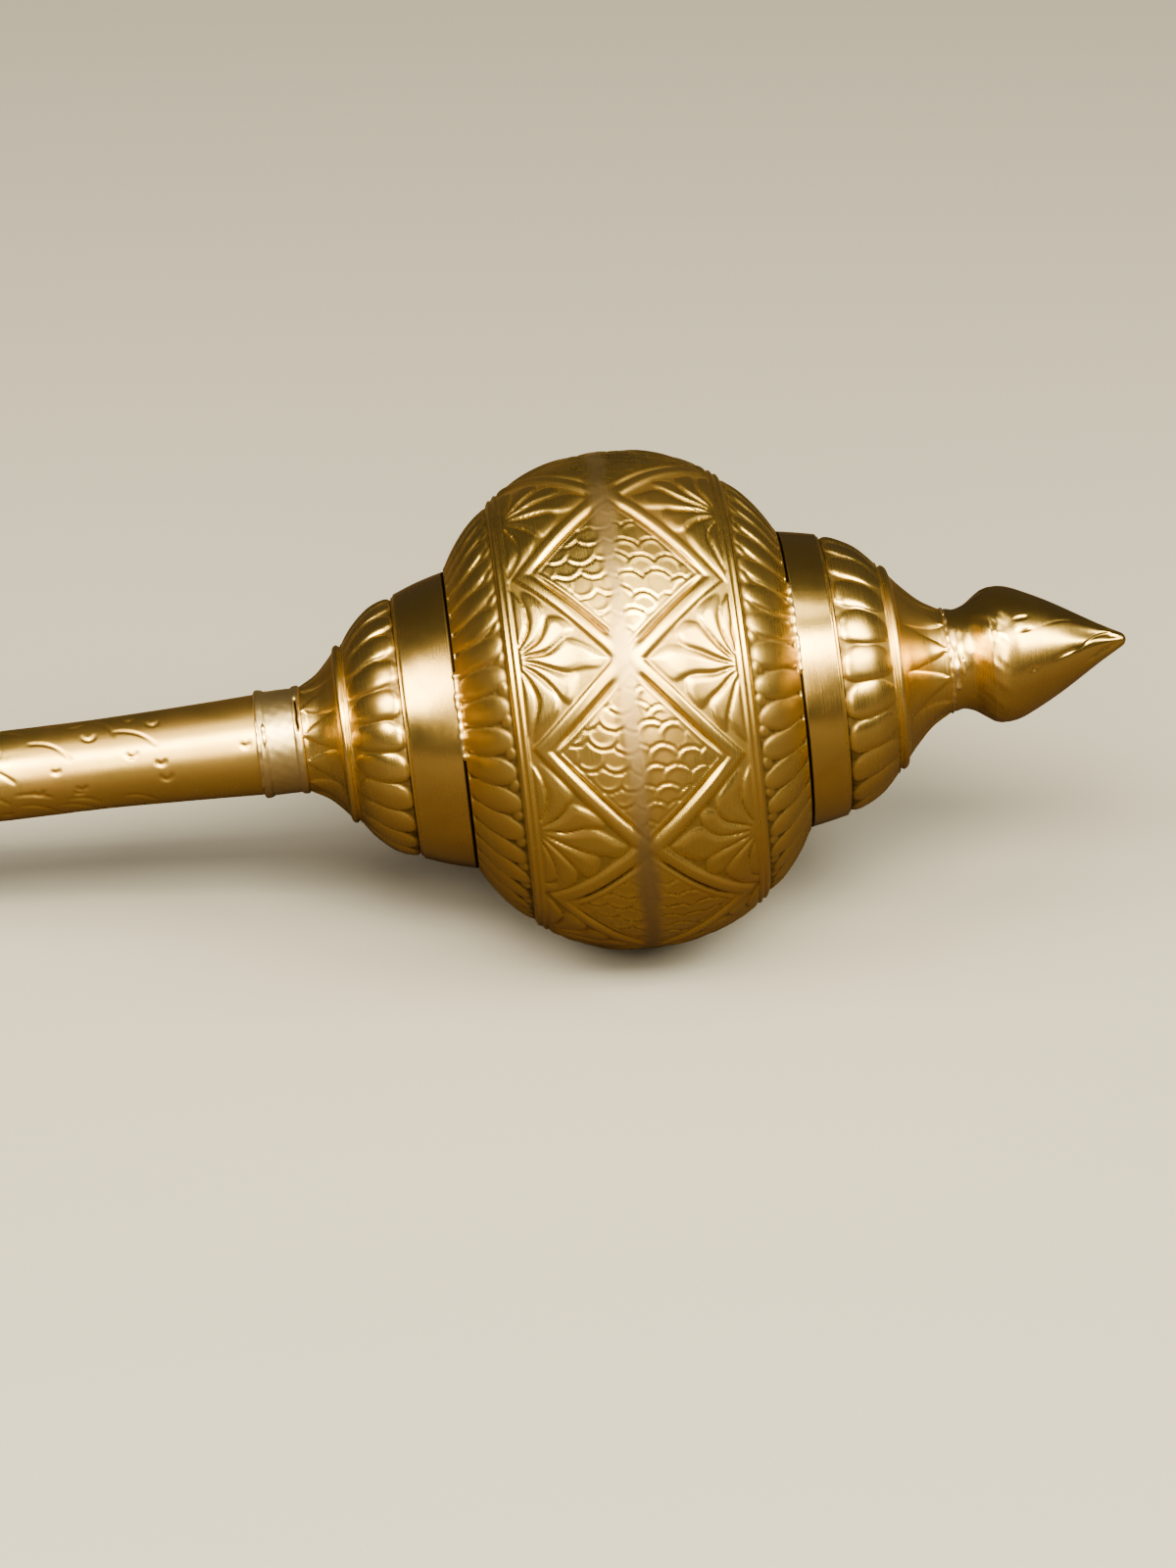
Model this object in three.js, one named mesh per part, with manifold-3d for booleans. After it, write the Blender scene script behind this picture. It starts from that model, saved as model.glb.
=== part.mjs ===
// A ceremonial mace of gilt sheet brass, lying at rest. An embossed globe sits between two lobed caps,
// with a pointed finial in front of it and a collar, a tubular shaft and a plain round knob behind.
//
// Millimetres, +Z up. Each piece is turned about the mace's own axis, local +X, which runs from the knob to
// the finial with its zero, the globe's centre, as station 0. The mace is then tilted until the globe and the
// knob both rest on the ground. The origin is on the ground, under the middle of the mace's length.

import * as THREE from "three";
import { mergeVertices } from "three/addons/utils/BufferGeometryUtils.js";
import Module from "manifold-3d";

// ---- driving dimensions -----------------------------------------------------------------------------------

const TILT = THREE.MathUtils.degToRad(7); // of the mace's axis above the ground
const FLAT_DEPTH = 0.9; // how far the resting flats are worn into the globe and the knob
const GAP = 0.3; // between two pieces that meet

const GLOBE_RADIUS = 75.3;
const GLOBE_REACH = 60.5; // where the globe's curve would meet the axis
const GLOBE_POWER = 2.2; // of the superellipse that is the globe's curve
const GLOBE_RIM = 50.2; // where the globe is cut off and a cap comes out of it
const GLOBE_LEAVES = 40; // around the outer band of each bowl
const GLOBE_COLUMNS = 2 * GLOBE_LEAVES;
const LEAF_DEPTH = 1.3;

const CHEVRONS = 8; // around each bowl
const CHEVRON_START = THREE.MathUtils.degToRad(7); // from the top of the mace to the first crossing
const CHEVRON_INNER = 9.2; // middle of the zigzag ridge at a crossing, next to the plain strip
const CHEVRON_OUTER = 28; // middle of the zigzag ridge at a corner, next to the ring
const CHEVRON_HALF_WIDTH = 2.4;
const CHEVRON_LEAN = THREE.MathUtils.degToRad(4); // how far each bowl's zigzag leans round, at its ring
const STRIP_HALF_WIDTH = 6; // of the plain strip where the two bowls are joined
const FIELD_DEPTH = 0.9; // how far the ground between the ridges is sunk
const RING_FROM = 31.6;
const RING_TO = 35.4;
const LEAF_HEAD_SHARE = 0.3; // of the way across the outer band, where the leaves are at their full height
const LEAF_FOOT_SHARE = 0.8;

const CAP_LOBE_DEPTH = 1.5;
const CAP_FLUTE_DEPTH = 0.9;
const COLUMNS_PER_LOBE = 3;
const LOBES_PER_FLUTE = 2;
const CAP_MOUTH_RADIUS = 44.9; // where a cap meets the globe

const FINIAL_TIP = 152;

const COLLAR_LENGTH = 13.8;
const COLLAR_RADIUS = 15.9;
const COLLAR_RIM = 0.6; // how far the collar's two rims stand up
const COLLAR_RIM_WIDTH = 2.8;

const SHAFT_RADIUS = 13.55;
const SHAFT_HEAD_RADIUS = 15.2; // the shaft swells to this at the collar
const SHAFT_SWELL = 50; // length of that swelling
const SHAFT_SWELL_POWER = 1.3;

const KNOB_RADIUS = 22;
const KNOB_NECK_RADIUS = 12.5;
const KNOB_NECK = 9; // length of the neck between the ball and the ring
const KNOB_RING_RADIUS = 16.8;
const KNOB_RING_LENGTH = 5;
const BUTTON_RADIUS = 5;
const BUTTON_HEIGHT = 3;
const BUTTON_FLAT_RADIUS = 3.5; // of the button's end, inside its rounded edge
const BUTTON_FLAT_DEPTH = 0.45; // how far the edge of that end is set back from its middle
const BUTTON_EDGE_DEPTH = 1.65; // how far back the button has its full radius

const ROUND_COLUMNS = 32; // around the finial, the collar, the shaft and the knob
const SHAFT_STEPS = 6; // along the shaft's swelling
const BALL_STEPS = 9; // along the knob's ball
const RING_STEPS = 4; // across the knob's ring
const GROUND_BLOCK = 1200; // side of the block that cuts the resting flats, larger than the mace

// A cap's outline from its mouth outwards, as [station, radius]. Its drum is plain, its lobes draw in to a
// bead, and its throat is fluted. lobeCount lobes go round it, and lobeStart is the angle of a groove between
// two of them.
const FRONT_CAP = {
  drum: [[56.2, 43.9], [62, 42.7]],
  groove: [62.7, 41.5],
  lobes: [[65, 41.4], [73, 37.3], [78.6, 33]],
  bead: [[79.6, 30.2], [81, 30.4], [82.6, 27.6]],
  throat: [[90.6, 19.4], [96.7, 15.7]],
  lobeCount: 22,
  lobeStart: THREE.MathUtils.degToRad(0.3),
};
const REAR_CAP = {
  drum: [[59, 42.6], [66, 40]],
  groove: [66.7, 38.7],
  lobes: [[68.8, 39.2], [76.4, 35.2], [82.8, 28.7]],
  bead: [[83.8, 26.4], [85, 26.9], [86.5, 24.7]],
  throat: [[91.9, 19.1], [97.2, 15.9]],
  lobeCount: 24,
  lobeStart: THREE.MathUtils.degToRad(12.3),
};

const GILT = { color: 0xd9a441, metalness: 1, roughness: 0.28 };
const WORN_GILT = { color: 0xc9983f, metalness: 1, roughness: 0.36 };
const PALE_BRASS = { color: 0xcdb27a, metalness: 1, roughness: 0.36 };

// ---- where the mace comes to rest -------------------------------------------------------------------------

// A superellipse's furthest reach in a direction is the norm of its two half-lengths, by the dual power.
const dualPower = GLOBE_POWER / (GLOBE_POWER - 1);
const alongReach = (GLOBE_REACH * Math.sin(TILT)) ** dualPower;
const acrossReach = (GLOBE_RADIUS * Math.cos(TILT)) ** dualPower;
const globeHeight = (alongReach + acrossReach) ** (1 / dualPower) - FLAT_DEPTH;
const knobHeight = KNOB_RADIUS - FLAT_DEPTH;
const knobCentre = -(globeHeight - knobHeight) / Math.sin(TILT);

// The mace's tilted place, before it is moved along the ground to its origin.
const lying = new THREE.Matrix4().makeRotationY(-TILT).setPosition(0, 0, globeHeight);

// ---- helpers ----------------------------------------------------------------------------------------------

const wasm = await Module();
wasm.setup();

function solidFrom(geometry) {
  const bare = geometry.clone();
  bare.deleteAttribute("normal");
  bare.deleteAttribute("uv");
  const merged = mergeVertices(bare, 1e-3);
  const mesh = new wasm.Mesh({
    numProp: 3,
    vertProperties: merged.attributes.position.array,
    triVerts: new Uint32Array(merged.index.array),
  });
  return new wasm.Manifold(mesh);
}

function geometryFrom(solid) {
  const mesh = solid.getMesh();
  const geometry = new THREE.BufferGeometry();
  geometry.setAttribute("position", new THREE.BufferAttribute(mesh.vertProperties, 3));
  geometry.setIndex(new THREE.BufferAttribute(mesh.triVerts, 1));
  geometry.computeVertexNormals();
  return geometry;
}

// Cuts away what would be below the ground once the piece lies tilted.
function restOnGround(geometry) {
  const ground = new THREE.BoxGeometry(GROUND_BLOCK, GROUND_BLOCK, GROUND_BLOCK);
  ground.translate(0, 0, -GROUND_BLOCK / 2);
  ground.applyMatrix4(lying.clone().invert());
  return geometryFrom(solidFrom(geometry).subtract(solidFrom(ground)));
}

// Turns a closed body about +X. place(row, angle) gives [station, radius, lean], from a first row on the axis
// to a last one on it, towards +X. Angles are counted from the top (+Z) round the near side (-Y), and lean is
// how much further round the point is moved.
function turnedBody(rowCount, columns, start, place) {
  const blank = Array.from({ length: rowCount }, (_, row) => new THREE.Vector2(1, row));
  const geometry = new THREE.LatheGeometry(blank, columns);
  const position = geometry.attributes.position;
  for (let i = 0; i < position.count; i++) {
    const column = Math.floor(i / rowCount) % columns;
    const angle = start + (column / columns) * 2 * Math.PI;
    const [station, radius, lean = 0] = place(i % rowCount, angle);
    position.setXYZ(i, radius * Math.sin(angle + lean), station, radius * Math.cos(angle + lean));
  }
  return geometry.rotateZ(-Math.PI / 2);
}

// The same for a body that faces forwards (side 1) or backwards (side -1) from the globe's centre.
function turnedFacing(side, rowCount, columns, start, place) {
  return turnedBody(rowCount, columns, start, (row, angle) => {
    const outward = side > 0 ? row : rowCount - 1 - row;
    const [station, radius, lean] = place(outward, angle);
    return [side * station, radius, lean];
  });
}

function turnedOutline(outline) {
  return turnedBody(outline.length, ROUND_COLUMNS, 0, (row) => outline[row]);
}

// A wave that is 0 at whole turns, 1 halfway between them, and straight between.
function triangleWave(turns) {
  const part = turns - Math.floor(turns);
  return 1 - Math.abs(2 * part - 1);
}

// The rounded back of a lobe or leaf: 0 in the grooves at its sides, 1 along its middle.
function roundBack(turns) {
  return Math.sin(Math.PI * (turns - Math.floor(turns)));
}

// How many of count equal steps an angle is from start, rounded so that a column on a step is exactly whole.
function turnsAround(angle, start, count) {
  const turns = ((angle - start) * count) / (2 * Math.PI);
  return Math.round(turns * 1e6) / 1e6;
}

function piece(name, geometry, finish) {
  const mesh = new THREE.Mesh(geometry, new THREE.MeshStandardMaterial(finish));
  mesh.name = name;
  return mesh;
}

// ---- the globe --------------------------------------------------------------------------------------------

function globeRadius(station) {
  return GLOBE_RADIUS * (1 - Math.abs(station / GLOBE_REACH) ** GLOBE_POWER) ** (1 / GLOBE_POWER);
}

// One of the two embossed bowls, from the plain strip at their joint out to its mouth. Its ridges reach the
// globe's curve, and the ground between them is sunk below it.
function globeBowl(side) {
  const joint = GAP / 2;
  const leafBand = GLOBE_RIM - RING_TO;
  const sunk = () => FIELD_DEPTH;
  const flush = () => 0;
  const leafGroove = (angle) => {
    return LEAF_DEPTH * (1 - roundBack(turnsAround(angle, CHEVRON_START, GLOBE_LEAVES)));
  };
  const rows = [
    { station: () => joint, depth: flush },
    { station: () => STRIP_HALF_WIDTH, depth: flush },
    { station: (ridge) => ridge - CHEVRON_HALF_WIDTH, depth: sunk },
    { station: (ridge) => ridge, depth: flush },
    { station: (ridge) => ridge + CHEVRON_HALF_WIDTH, depth: sunk },
    { station: () => RING_FROM, depth: sunk },
    { station: () => (RING_FROM + RING_TO) / 2, depth: flush },
    { station: () => RING_TO, depth: sunk },
    { station: () => RING_TO + LEAF_HEAD_SHARE * leafBand, depth: leafGroove },
    { station: () => RING_TO + LEAF_FOOT_SHARE * leafBand, depth: leafGroove },
    { station: () => GLOBE_RIM, depth: flush },
  ];
  const last = rows.length + 1;
  const body = turnedFacing(side, last + 1, GLOBE_COLUMNS, CHEVRON_START, (row, angle) => {
    if (row === 0) return [joint, 0];
    if (row === last) return [GLOBE_RIM, 0];
    const zigzag = triangleWave(turnsAround(angle, CHEVRON_START, CHEVRONS));
    const ridge = THREE.MathUtils.lerp(CHEVRON_INNER, CHEVRON_OUTER, zigzag);
    const { station, depth } = rows[row - 1];
    const at = station(ridge);
    const lean = side * CHEVRON_LEAN * Math.min(1, at / RING_FROM);
    return [at, globeRadius(at) - depth(angle), lean];
  });
  return restOnGround(body);
}

// ---- the caps ---------------------------------------------------------------------------------------------

function cap(shape, side) {
  const mouth = GLOBE_RIM + GAP;
  const { drum, groove, lobes, bead, throat, lobeCount, lobeStart } = shape;
  const columns = COLUMNS_PER_LOBE * lobeCount;
  const fluteCount = lobeCount / LOBES_PER_FLUTE;
  const rim = [[mouth, 0], [mouth, CAP_MOUTH_RADIUS]];
  const outline = [...rim, ...drum, groove, ...lobes, ...bead, ...throat, [throat.at(-1)[0], 0]];
  const lobeDepth = (angle) => {
    return CAP_LOBE_DEPTH * (1 - roundBack(turnsAround(angle, lobeStart, lobeCount)));
  };
  const fluteDepth = (angle) => {
    return CAP_FLUTE_DEPTH * (1 - roundBack(turnsAround(angle, lobeStart, fluteCount)));
  };
  return turnedFacing(side, outline.length, columns, lobeStart, (row, angle) => {
    const [station, radius] = outline[row];
    if (lobes.includes(outline[row])) return [station, radius - lobeDepth(angle)];
    if (outline[row] === throat[0]) return [station, radius - fluteDepth(angle)];
    return [station, radius];
  });
}

const frontCapEnd = FRONT_CAP.throat.at(-1)[0];
const rearCapEnd = REAR_CAP.throat.at(-1)[0];

// ---- the finial -------------------------------------------------------------------------------------------

// A waisted neck that swells to a blunt shoulder, and a long point, very slightly full, with a rounded tip.
function finial() {
  const foot = frontCapEnd + GAP;
  return turnedOutline([
    [foot, 0],
    [foot, 15.7],
    [100.6, 15.3],
    [103.8, 16.2],
    [106.8, 18.3],
    [109.6, 20.2],
    [112.4, 21],
    [115.4, 20.7],
    [120.4, 18.9],
    [132, 13],
    [144, 5.8],
    [149.8, 2.3],
    [151.4, 1.2],
    [FINIAL_TIP, 0],
  ]);
}

// ---- the collar, the shaft and the knob -------------------------------------------------------------------

const collarFront = -(rearCapEnd + GAP);
const collarBack = collarFront - COLLAR_LENGTH;
const shaftFront = collarBack - GAP;
const neckBack = knobCentre + Math.sqrt(KNOB_RADIUS ** 2 - KNOB_NECK_RADIUS ** 2);
const ringBack = neckBack + KNOB_NECK;
const ringFront = ringBack + KNOB_RING_LENGTH;
const shaftBack = ringFront + GAP;

// A short sleeve with a raised rim at each end. Its two ends are alike.
function collar() {
  const half = [
    [0, 0],
    [0, COLLAR_RADIUS],
    [COLLAR_RIM, COLLAR_RADIUS + COLLAR_RIM],
    [COLLAR_RIM_WIDTH - COLLAR_RIM, COLLAR_RADIUS + COLLAR_RIM],
    [COLLAR_RIM_WIDTH, COLLAR_RADIUS],
  ];
  const back = half.map(([station, radius]) => [collarBack + station, radius]);
  const front = half.map(([station, radius]) => [collarFront - station, radius]).reverse();
  return turnedOutline([...back, ...front]);
}

function shaft() {
  const outline = [[shaftBack, 0], [shaftBack, SHAFT_RADIUS]];
  for (let i = 0; i <= SHAFT_STEPS; i++) {
    const share = i / SHAFT_STEPS;
    const radius = THREE.MathUtils.lerp(SHAFT_RADIUS, SHAFT_HEAD_RADIUS, share ** SHAFT_SWELL_POWER);
    outline.push([shaftFront - SHAFT_SWELL * (1 - share), radius]);
  }
  outline.push([shaftFront, 0]);
  return turnedOutline(outline);
}

// Points of a round or flattened arc about a centre, towards +X. base is the centre's distance from the axis.
function arcPoints(centre, halfLength, base, rise, from, to, steps) {
  return Array.from({ length: steps + 1 }, (_, i) => {
    const angle = THREE.MathUtils.lerp(from, to, i / steps);
    return [centre - halfLength * Math.cos(angle), base + rise * Math.sin(angle)];
  });
}

// A half-round ring and a short neck, then a ball with a low button on its end.
function knob() {
  const buttonSeat = Math.asin(BUTTON_RADIUS / KNOB_RADIUS);
  const neckSeat = Math.PI - Math.asin(KNOB_NECK_RADIUS / KNOB_RADIUS);
  const buttonBack = knobCentre - KNOB_RADIUS - BUTTON_HEIGHT;
  const ringMiddle = (ringBack + ringFront) / 2;
  const ringRise = KNOB_RING_RADIUS - SHAFT_RADIUS;
  const button = [
    [buttonBack, 0],
    [buttonBack + BUTTON_FLAT_DEPTH, BUTTON_FLAT_RADIUS],
    [buttonBack + BUTTON_EDGE_DEPTH, BUTTON_RADIUS],
  ];
  const ball = arcPoints(knobCentre, KNOB_RADIUS, 0, KNOB_RADIUS, buttonSeat, neckSeat, BALL_STEPS);
  const neck = [[ringBack, KNOB_NECK_RADIUS]];
  const ring = arcPoints(ringMiddle, KNOB_RING_LENGTH / 2, SHAFT_RADIUS, ringRise, 0, Math.PI, RING_STEPS);
  return restOnGround(turnedOutline([...button, ...ball, ...neck, ...ring, [ringFront, 0]]));
}

// ---- the mace ---------------------------------------------------------------------------------------------

const mace = new THREE.Group();
mace.add(
  piece("knob", knob(), WORN_GILT),
  piece("shaft", shaft(), WORN_GILT),
  piece("collar", collar(), PALE_BRASS),
  piece("rear_cap", cap(REAR_CAP, -1), GILT),
  piece("rear_globe_bowl", globeBowl(-1), GILT),
  piece("front_globe_bowl", globeBowl(1), GILT),
  piece("front_cap", cap(FRONT_CAP, 1), GILT),
  piece("finial", finial(), GILT),
);
mace.applyMatrix4(lying);

const lyingMace = new THREE.Group();
lyingMace.add(mace);
const middle = new THREE.Box3().setFromObject(lyingMace, true).getCenter(new THREE.Vector3());
mace.position.x -= middle.x;

export default lyingMace;
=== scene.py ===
# %% [markdown]
# # A ceremonial mace in gilt sheet brass
#
# The mace is an embossed globe between two lobed caps. In front of it is a pointed finial, and behind it
# are a collar, an engraved tubular handle and a plain round knob. It lies at rest on its globe and its knob.
#
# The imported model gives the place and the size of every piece, and this lesson makes their surfaces. Every
# piece was turned, raised or chased about one axis. So each is made here as a turned skin: a grid of points
# round the axis, with the maker's hammer and punch work written as a depth below the turned curve.

# %% The frame
import math

import bpy
import numpy as np
from mathutils import Matrix, Vector


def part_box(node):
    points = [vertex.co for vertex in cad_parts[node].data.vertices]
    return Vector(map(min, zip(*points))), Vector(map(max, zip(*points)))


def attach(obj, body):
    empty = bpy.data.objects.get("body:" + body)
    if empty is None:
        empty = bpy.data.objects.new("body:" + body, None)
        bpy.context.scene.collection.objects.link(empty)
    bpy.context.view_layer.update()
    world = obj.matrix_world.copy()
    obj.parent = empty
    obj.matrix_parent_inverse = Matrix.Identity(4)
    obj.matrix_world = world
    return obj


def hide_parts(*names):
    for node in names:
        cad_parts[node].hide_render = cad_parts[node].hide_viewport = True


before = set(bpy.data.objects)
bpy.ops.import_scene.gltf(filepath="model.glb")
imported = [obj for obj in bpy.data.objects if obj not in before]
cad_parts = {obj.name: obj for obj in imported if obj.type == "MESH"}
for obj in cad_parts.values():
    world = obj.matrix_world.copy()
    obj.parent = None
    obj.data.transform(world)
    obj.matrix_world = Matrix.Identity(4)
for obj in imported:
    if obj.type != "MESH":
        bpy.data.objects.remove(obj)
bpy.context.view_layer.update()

print("pieces in the frame:", sorted(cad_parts))

# %% [markdown]
# ## The mace's own axis
#
# A turner measures along the work and out from its middle. The same is done here: a *station* is a distance
# along the mace's axis from the globe's centre, in millimetres, towards the finial. The collar's two ends are
# alike, so the middle of its box is a point on the axis, and that one point places everything else.

# %% The axis
MM = 0.001
TILT = math.radians(7)
COLLAR_FRONT = -97.5
COLLAR_BACK = -111.3
along = np.array([math.cos(TILT), 0, math.sin(TILT)])
upward = np.array([-math.sin(TILT), 0, math.cos(TILT)])
nearward = np.array([0, -1, 0])

collar_low, collar_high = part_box("collar")
collar_middle = np.array((collar_low + collar_high) / 2)
globe_centre = collar_middle - along * (COLLAR_FRONT + COLLAR_BACK) / 2 * MM
print("globe's centre, in metres:", globe_centre.round(4))

# %% [markdown]
# ## The camera
#
# The mace is seen from its side, with the camera looking down on it and standing a few degrees towards the
# handle, so that the finial points slightly away. A long lens from far away keeps the globe round. The lens
# could be shifted to place the globe in the view. It is simpler to aim the camera at a point beside the
# globe, and to roll it a little.

# %% The camera
CAMERA_SWING = math.radians(5.26)
CAMERA_HEIGHT_ANGLE = math.radians(29)
CAMERA_DISTANCE = 1.802
CAMERA_ROLL = math.radians(1.67)
LENS = 137.4
SENSOR_WIDTH = 36
AIM_LEFT = 0.0116
AIM_DOWN = 0.0254

level = math.cos(CAMERA_HEIGHT_ANGLE)
down = math.sin(CAMERA_HEIGHT_ANGLE)
looking = Vector((math.sin(CAMERA_SWING) * level, math.cos(CAMERA_SWING) * level, -down))
turn = Matrix.Rotation(CAMERA_ROLL, 3, -looking)
picture_right = turn @ Vector((math.cos(CAMERA_SWING), -math.sin(CAMERA_SWING), 0))
picture_up = picture_right.cross(looking)
aim = Vector(globe_centre) - picture_right * AIM_LEFT - picture_up * AIM_DOWN

camera = bpy.data.objects.new("camera", bpy.data.cameras.new("camera"))
bpy.context.scene.collection.objects.link(camera)
camera.data.lens = LENS
camera.data.sensor_width = SENSOR_WIDTH
axes = Matrix((picture_right, picture_up, -looking)).transposed()
camera.matrix_world = Matrix.Translation(aim - looking * CAMERA_DISTANCE) @ axes.to_4x4()
bpy.context.scene.camera = camera
print("camera at", camera.matrix_world.translation)

# %% [markdown]
# ## Small tools for chasing
#
# A chaser has few tools, and so has this lesson. A liner cuts a groove. A planisher blends one level into the
# next. Most of the ornament is cushions, raised from inside the sheet with an oval punch, and a cushion's
# height is taken from a superellipse, which is rounder than a box and fuller than an oval.
#
# A hammered sheet is never quite even, and polish shows that more than any mark does. A cloud texture could
# give the unevenness, but it wouldn't close on itself round a piece. So the last tool adds up slow waves that
# do, and their directions come from a numbered draw, the same on each run.

# %% Small tools for chasing
CUSHION_EDGE = 0.62
WAVES = 7


def blend_level(low, high, x):
    """0 below low, 1 above high, and a smooth slope between."""
    t = np.clip((x - low) / (high - low), 0, 1)
    return t * t * (3 - 2 * t)


def liner(distance, half_width):
    """The section of a cut groove: 1 along its middle, and almost 0 a half width or two away."""
    return np.exp(-((distance / half_width) ** 2))


def cushion(side, way, fullness=2.5):
    """A raised cushion: 1 on its crown and 0 on its edge, where side or way is 1 or -1."""
    inside = 1 - np.abs(side) ** fullness - np.abs(way) ** fullness
    return np.clip(inside, 0, 1) ** CUSHION_EDGE


def lapped(side, lap):
    """Moves a cushion's crown towards its lower edge, so that it seems to lie over its neighbour."""
    return side - lap * (1 - side**2)


def counted_round(angle, start, count):
    """Which of count equal parts a point is in, and how far it is across that part, from -1 to 1."""
    turns = (angle - start) * count / (2 * math.pi)
    number = np.floor(turns)
    return number.astype(int) % count, 2 * (turns - number) - 1


def hammering(angle, station, seed, size=9.0, radius=50.0):
    """Slow bumps of about one size, in mm, between -1 and 1. It closes on itself round the piece."""
    draw = np.random.default_rng(seed)
    total = np.zeros(np.broadcast(angle, station).shape)
    most = max(2, int(2 * math.pi * radius / size))
    for _ in range(WAVES):
        round_the_piece = draw.integers(-most, most + 1)
        along_the_piece = draw.uniform(-1, 1) * 2 * math.pi / size
        total = total + np.sin(round_the_piece * angle + along_the_piece * station + draw.uniform(0, 6.28))
    return total / WAVES


print("a cushion is", cushion(0.5, 0).round(2), "high half way to its edge")

# %% [markdown]
# ## From points to a piece
#
# A ready-made ball or tube could be bent into each piece, but its points would lie where Blender put them,
# and not where the punch fell. So every point is placed here by its station and its angle round the mace. A
# mesh can keep more numbers with each point, for the finish to read later.

# %% From points to a piece
def around(columns):
    """Angles once round the mace."""
    return np.arange(columns) / columns * 2 * math.pi


def turned(outline, columns):
    """Tables of stations, radii and angles for an outline that is turned once round the axis."""
    stations, curve = outline[:, :1], outline[:, 1:]
    return stations, curve, around(columns)[None, :] + 0 * stations


def outward(angles):
    """Directions square to the mace's axis, for angles from its top towards the near side."""
    return np.cos(angles)[:, None] * upward + np.sin(angles)[:, None] * nearward


def new_piece(name, points, faces):
    """A smooth piece in the scene, from its points in metres and its faces."""
    mesh = bpy.data.meshes.new(name)
    mesh.from_pydata(points.tolist(), [], faces)
    mesh.validate()
    mesh.polygons.foreach_set("use_smooth", np.ones(len(mesh.polygons), bool))
    piece = bpy.data.objects.new(name, mesh)
    bpy.context.scene.collection.objects.link(piece)
    return piece


def store(mesh, name, table, shape):
    """Keeps one number for each point of the grid, and nothing for the two end points."""
    values = np.zeros(len(mesh.vertices), np.float32)
    values[: shape[0] * shape[1]] = np.broadcast_to(table, shape).ravel()
    mesh.attributes.new(name, "FLOAT", "POINT").data.foreach_set("value", values)


def finish_piece(piece, slot, *nodes):
    """Every piece belongs to the mace's one body, and most stand for a piece of the frame."""
    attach(piece, "root")
    if nodes:
        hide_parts(*nodes)
    return piece


# %% [markdown]
# ## The turned skin
#
# A lathe could be copied with a screw modifier, but a screwed curve is plain all round, and this mace is
# covered in relief. So the grid's points are worked out in one go: stations and radii come in as a table, one
# row for each ring, and a ring is a little nearer the axis wherever it is chased. Two fans of triangles close
# the ends, so that the piece is one solid body. Whatever would be below the ground is pressed flat on it,
# which makes the two small resting flats.
#
# Each point also remembers three numbers for its finish: how much painted shade it gets, mostly from how deep
# it is cut, its station, because turning lines follow it, and how dull it is, from -1 for a mirror polish to
# 1 for a file.

# %% The turned skin
def turned_skin(name, stations, radii, angles, cut, dull=0.0):
    """A closed body from tables of rings by angles, in mm. cut, mostly the chasing's depth, sets painted
    shade.
    """
    rings, columns = radii.shape
    stations = np.broadcast_to(stations, radii.shape)
    points = globe_centre + MM * (stations[..., None] * along + radii[..., None] * outward(angles))
    ends = globe_centre + MM * np.array([stations[0].mean() * along, stations[-1].mean() * along])
    points = np.concatenate([points.reshape(-1, 3), ends])
    points[:, 2] = np.maximum(points[:, 2], 0)

    ring = np.arange(rings - 1)[:, None] * columns
    here = np.arange(columns)
    after = (here + 1) % columns
    quads = np.stack([ring + here, ring + columns + here, ring + columns + after, ring + after], -1)
    back_fan = np.stack([np.full(columns, rings * columns), here, after], -1)
    last = (rings - 1) * columns
    front_fan = np.stack([np.full(columns, rings * columns + 1), last + after, last + here], -1)
    faces = quads.reshape(-1, 4).tolist() + back_fan.tolist() + front_fan.tolist()

    piece = new_piece(name, points, faces)
    # The stored cut sets each point's painted shade in the finish: darker where it is cut deep.
    store(piece.data, "cut", cut, radii.shape)
    store(piece.data, "station", stations, radii.shape)
    store(piece.data, "dull", dull, radii.shape)
    keep_end_edges_sharp(piece.data, columns, last)
    print(name, "has", 2 * len(quads.reshape(-1, 4)) + 2 * columns, "triangles")
    return piece


def keep_end_edges_sharp(mesh, columns, last):
    """Stops the shading from rounding the piece over its two flat ends."""
    pairs = np.empty(2 * len(mesh.edges), np.int32)
    mesh.edges.foreach_get("vertices", pairs)
    pairs = pairs.reshape(-1, 2)
    at_back = (pairs < columns).all(1)
    at_front = ((pairs >= last) & (pairs < last + columns)).all(1)
    sharp = mesh.attributes.new("sharp_edge", "BOOLEAN", "EDGE")
    sharp.data.foreach_set("value", at_back | at_front)


# %% [markdown]
# ## The globe's curve
#
# Each half of the globe was raised from sheet over a stake, fuller than a ball at its shoulders. A
# superellipse gives that fullness from one number, its power. The chasing was laid out on the sheet with
# dividers, so the pattern is drawn here by distance over the surface and not by station. The table below
# turns one into the other.

# %% The globe's curve
GLOBE_RADIUS = 75.3
GLOBE_REACH = 60.5
GLOBE_POWER = 2.2
GLOBE_RIM = 50.2
RING_FROM = 31.6
RING_TO = 35.4
MEASURED_STEPS = 2001


def globe_radius(station):
    return GLOBE_RADIUS * (1 - np.abs(station / GLOBE_REACH) ** GLOBE_POWER) ** (1 / GLOBE_POWER)


fine_stations = np.linspace(0, GLOBE_RIM, MEASURED_STEPS)
fine_steps = np.hypot(np.diff(fine_stations), np.diff(globe_radius(fine_stations)))
fine_lengths = np.concatenate([[0], np.cumsum(fine_steps)])


def over_surface(station):
    return np.interp(station, fine_stations, fine_lengths)


def station_of(length):
    return np.interp(length, fine_lengths, fine_stations)


rim_length = over_surface(GLOBE_RIM)
ring_inner = over_surface(RING_FROM)
ring_outer = over_surface(RING_TO)
print("from the globe's joint to its rim, over the surface:", round(float(rim_length), 1), "mm")

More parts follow.
